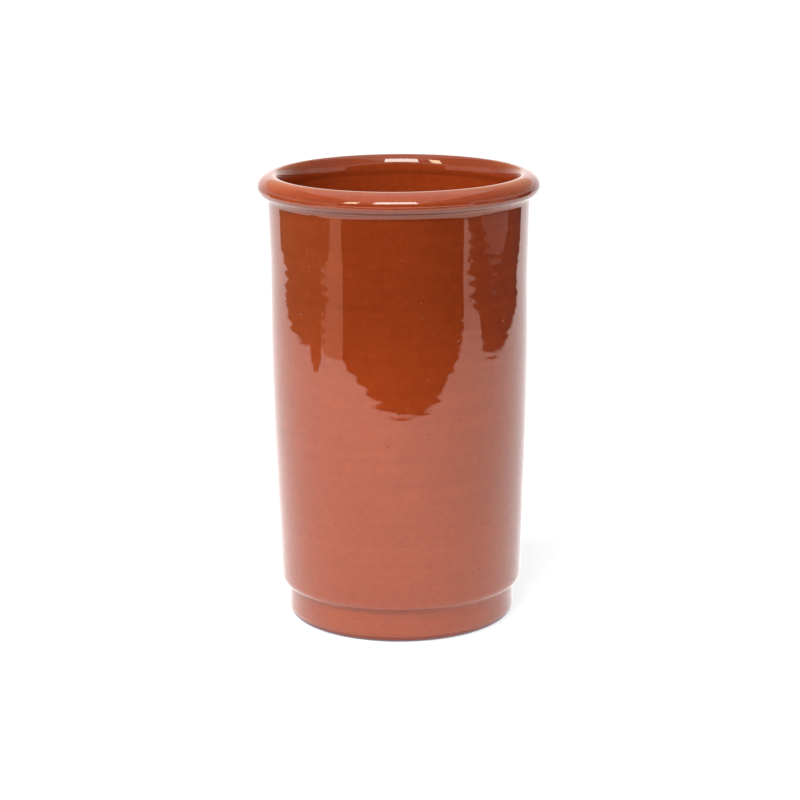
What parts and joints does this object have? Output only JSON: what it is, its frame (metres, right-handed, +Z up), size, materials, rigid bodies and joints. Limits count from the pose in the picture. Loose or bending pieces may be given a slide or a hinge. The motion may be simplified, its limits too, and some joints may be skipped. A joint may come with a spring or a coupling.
{
  "type": "terracotta pot",
  "caption": "Tall, nearly cylindrical glazed terracotta pot with a rolled rim, a small fillet under it and a narrower stepped foot; open at the top and closed at the floor.",
  "frame": {"origin": "centre of the standing face, at the bottom of the foot ring", "axes": "+Z up along the pot's axis, through the mouth; the pot is a solid of revolution, so +X and +Y are any two square directions"},
  "size_m": [0.124, 0.124, 0.2],
  "materials": {
    "bare_clay": "matt, fired and unglazed",
    "outside_glaze": "high gloss clear glaze over red clay",
    "lining_glaze": "high gloss clear glaze over red clay"
  },
  "bodies": {
    "root": {"clay_body": "bare_clay", "glaze_outside": "outside_glaze", "glaze_lining": "lining_glaze"}
  },
  "joints": []
}
